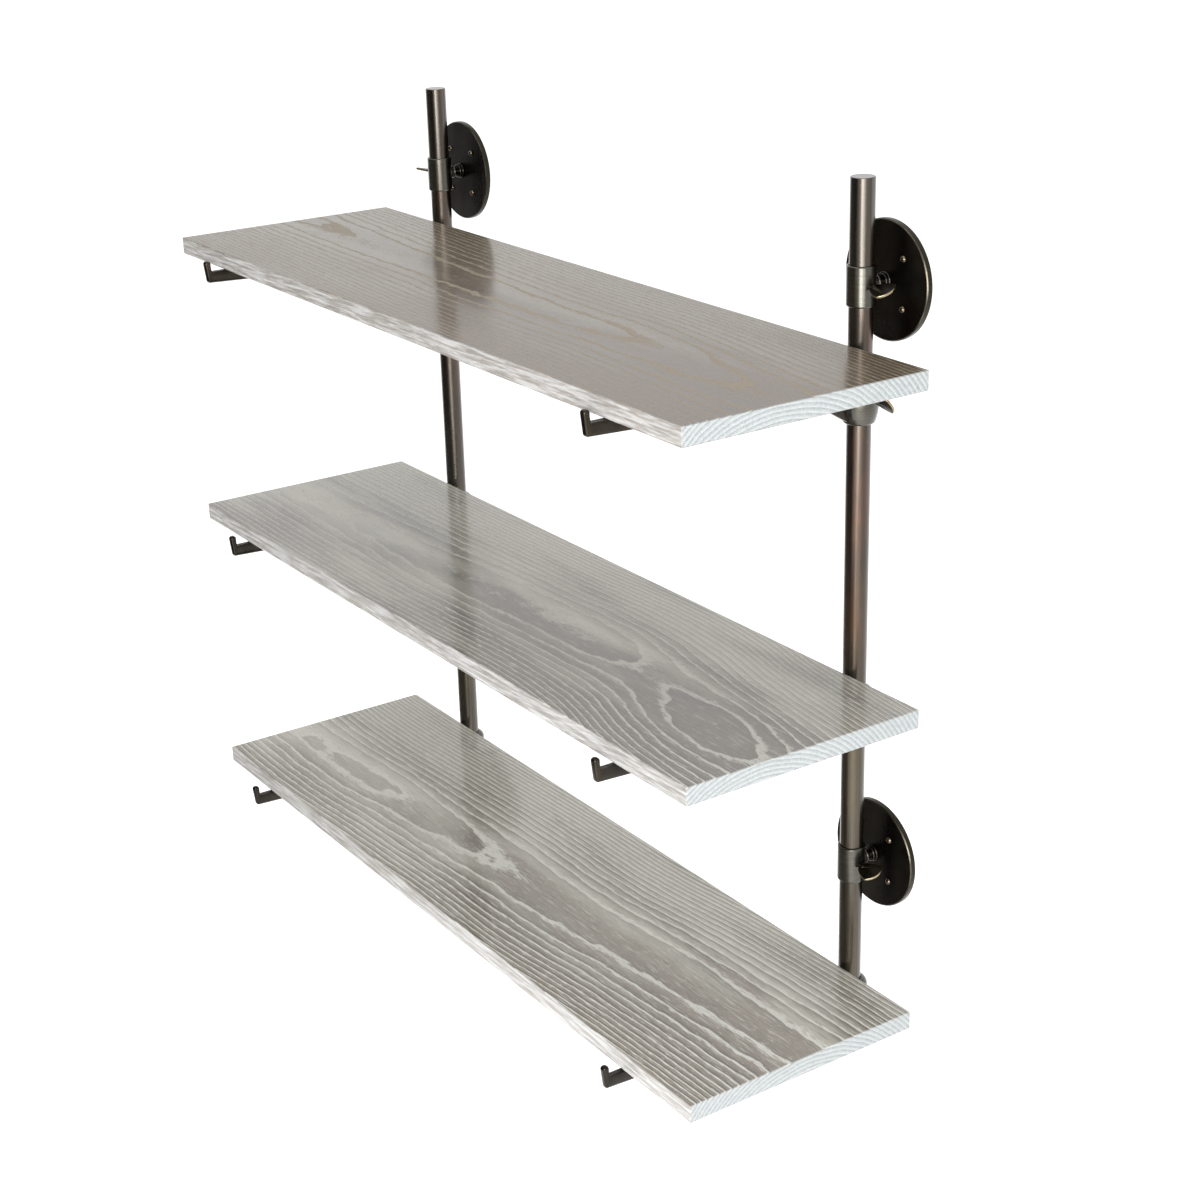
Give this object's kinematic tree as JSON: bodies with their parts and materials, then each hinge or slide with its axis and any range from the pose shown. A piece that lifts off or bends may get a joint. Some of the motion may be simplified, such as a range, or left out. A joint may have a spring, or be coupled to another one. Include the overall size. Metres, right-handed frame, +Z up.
{
  "type": "wall-mounted shelving unit",
  "caption": "Wall-hung shelving unit: limed oak boards on hooked bronze brackets, which slide on upright rods held by turned collars and round wall plates.",
  "frame": {"origin": "on the face of the wall, midway between the wall plates: the centre of the rectangle of their outermost screws", "axes": "+X to the right along the shelves, +Y into the wall, +Z up"},
  "size_m": [1.0668, 0.3914, 0.9652],
  "materials": {
    "limed_oak": "limed oak, grey-brown ground with white-filled grain, satin lacquer",
    "rod_bronze": "aged bronze patina, polished",
    "collar_bronze": "aged bronze patina with fine turning lines",
    "plate_bronze": "dark bronze patina, worn pale at the rim",
    "thumbscrew_brass": "dark patina, worn to bright brass along the blade's edge",
    "screw_brass": "aged brass, domed and polished"
  },
  "bodies": {
    "wall_fixings": {"plate_upper_left": "plate_bronze", "neck_upper_left": "plate_bronze", "collar_upper_left": "collar_bronze", "plate_upper_right": "plate_bronze", "neck_upper_right": "plate_bronze", "collar_upper_right": "collar_bronze", "plate_lower_left": "plate_bronze", "neck_lower_left": "plate_bronze", "collar_lower_left": "collar_bronze", "plate_lower_right": "plate_bronze", "neck_lower_right": "plate_bronze", "collar_lower_right": "collar_bronze", "wall_screws": "screw_brass"},
    "rod_left": {"rod_left": "rod_bronze"},
    "rod_right": {"rod_right": "rod_bronze"},
    "bracket_top_left": {"hub_top_left": "collar_bronze", "arm_top_left": "collar_bronze"},
    "bracket_top_right": {"hub_top_right": "collar_bronze", "arm_top_right": "collar_bronze"},
    "bracket_middle_left": {"hub_middle_left": "collar_bronze", "arm_middle_left": "collar_bronze"},
    "bracket_middle_right": {"hub_middle_right": "collar_bronze", "arm_middle_right": "collar_bronze"},
    "bracket_bottom_left": {"hub_bottom_left": "collar_bronze", "arm_bottom_left": "collar_bronze"},
    "bracket_bottom_right": {"hub_bottom_right": "collar_bronze", "arm_bottom_right": "collar_bronze"},
    "shelf_top": {"shelf_top": "limed_oak"},
    "shelf_middle": {"shelf_middle": "limed_oak"},
    "shelf_bottom": {"shelf_bottom": "limed_oak"},
    "hub_screw_top_left": {"hub_screw_top_left": "thumbscrew_brass"},
    "hub_screw_top_right": {"hub_screw_top_right": "thumbscrew_brass"},
    "hub_screw_middle_left": {"hub_screw_middle_left": "thumbscrew_brass"},
    "hub_screw_middle_right": {"hub_screw_middle_right": "thumbscrew_brass"},
    "hub_screw_bottom_left": {"hub_screw_bottom_left": "thumbscrew_brass"},
    "hub_screw_bottom_right": {"hub_screw_bottom_right": "thumbscrew_brass"},
    "collar_screw_upper_left": {"collar_screw_upper_left": "thumbscrew_brass"},
    "collar_screw_upper_right": {"collar_screw_upper_right": "thumbscrew_brass"},
    "collar_screw_lower_left": {"collar_screw_lower_left": "thumbscrew_brass"},
    "collar_screw_lower_right": {"collar_screw_lower_right": "thumbscrew_brass"}
  },
  "joints": [
    {"name": "rod_left_slide", "type": "slide", "parent": "wall_fixings", "child": "rod_left", "axis": [0, 0, 1], "range_m": [-0.02, 0.02]},
    {"name": "rod_right_slide", "type": "slide", "parent": "wall_fixings", "child": "rod_right", "axis": [0, 0, 1], "range_m": [-0.02, 0.02]},
    {"name": "bracket_top_left_slide", "type": "slide", "parent": "rod_left", "child": "bracket_top_left", "axis": [0, 0, 1], "range_m": [-0.12, 0.03]},
    {"name": "bracket_top_right_slide", "type": "slide", "parent": "rod_right", "child": "bracket_top_right", "axis": [0, 0, 1], "range_m": [-0.12, 0.03]},
    {"name": "bracket_middle_left_slide", "type": "slide", "parent": "rod_left", "child": "bracket_middle_left", "axis": [0, 0, 1], "range_m": [-0.1, 0.12]},
    {"name": "bracket_middle_right_slide", "type": "slide", "parent": "rod_right", "child": "bracket_middle_right", "axis": [0, 0, 1], "range_m": [-0.1, 0.12]},
    {"name": "bracket_bottom_left_slide", "type": "slide", "parent": "rod_left", "child": "bracket_bottom_left", "axis": [0, 0, 1], "range_m": [-0.004, 0.098]},
    {"name": "bracket_bottom_right_slide", "type": "slide", "parent": "rod_right", "child": "bracket_bottom_right", "axis": [0, 0, 1], "range_m": [-0.004, 0.098]},
    {"name": "shelf_top_lift", "type": "slide", "parent": "bracket_top_left", "child": "shelf_top", "axis": [0, 0, 1], "range_m": [0, 0.02]},
    {"name": "shelf_middle_lift", "type": "slide", "parent": "bracket_middle_left", "child": "shelf_middle", "axis": [0, 0, 1], "range_m": [0, 0.02]},
    {"name": "shelf_bottom_lift", "type": "slide", "parent": "bracket_bottom_left", "child": "shelf_bottom", "axis": [0, 0, 1], "range_m": [0, 0.02]},
    {"name": "hub_screw_top_left_turn", "type": "hinge", "parent": "bracket_top_left", "child": "hub_screw_top_left", "pos_m": [-0.413, -0.0381, 0.2085], "axis": [-1, 0, 0], "range_deg": [0, 270]},
    {"name": "hub_screw_top_right_turn", "type": "hinge", "parent": "bracket_top_right", "child": "hub_screw_top_right", "pos_m": [0.413, -0.0381, 0.2085], "axis": [1, 0, 0], "range_deg": [0, 270]},
    {"name": "hub_screw_middle_left_turn", "type": "hinge", "parent": "bracket_middle_left", "child": "hub_screw_middle_left", "pos_m": [-0.413, -0.0381, -0.1471], "axis": [-1, 0, 0], "range_deg": [0, 270]},
    {"name": "hub_screw_middle_right_turn", "type": "hinge", "parent": "bracket_middle_right", "child": "hub_screw_middle_right", "pos_m": [0.413, -0.0381, -0.1471], "axis": [1, 0, 0], "range_deg": [0, 270]},
    {"name": "hub_screw_bottom_left_turn", "type": "hinge", "parent": "bracket_bottom_left", "child": "hub_screw_bottom_left", "pos_m": [-0.413, -0.0381, -0.5027], "axis": [-1, 0, 0], "range_deg": [0, 270]},
    {"name": "hub_screw_bottom_right_turn", "type": "hinge", "parent": "bracket_bottom_right", "child": "hub_screw_bottom_right", "pos_m": [0.413, -0.0381, -0.5027], "axis": [1, 0, 0], "range_deg": [0, 270]},
    {"name": "collar_screw_upper_left_turn", "type": "hinge", "parent": "wall_fixings", "child": "collar_screw_upper_left", "pos_m": [-0.413, -0.0381, 0.3218], "axis": [-1, 0, 0], "range_deg": [0, 270]},
    {"name": "collar_screw_upper_right_turn", "type": "hinge", "parent": "wall_fixings", "child": "collar_screw_upper_right", "pos_m": [0.413, -0.0381, 0.3218], "axis": [1, 0, 0], "range_deg": [0, 270]},
    {"name": "collar_screw_lower_left_turn", "type": "hinge", "parent": "wall_fixings", "child": "collar_screw_lower_left", "pos_m": [-0.413, -0.0381, -0.3218], "axis": [-1, 0, 0], "range_deg": [0, 270]},
    {"name": "collar_screw_lower_right_turn", "type": "hinge", "parent": "wall_fixings", "child": "collar_screw_lower_right", "pos_m": [0.413, -0.0381, -0.3218], "axis": [1, 0, 0], "range_deg": [0, 270]}
  ],
  "couplings": [
    {"joint": "rod_right_slide", "follows": "rod_left_slide", "ratio": 1},
    {"joint": "bracket_top_right_slide", "follows": "bracket_top_left_slide", "ratio": 1},
    {"joint": "bracket_middle_right_slide", "follows": "bracket_middle_left_slide", "ratio": 1},
    {"joint": "bracket_bottom_right_slide", "follows": "bracket_bottom_left_slide", "ratio": 1}
  ]
}
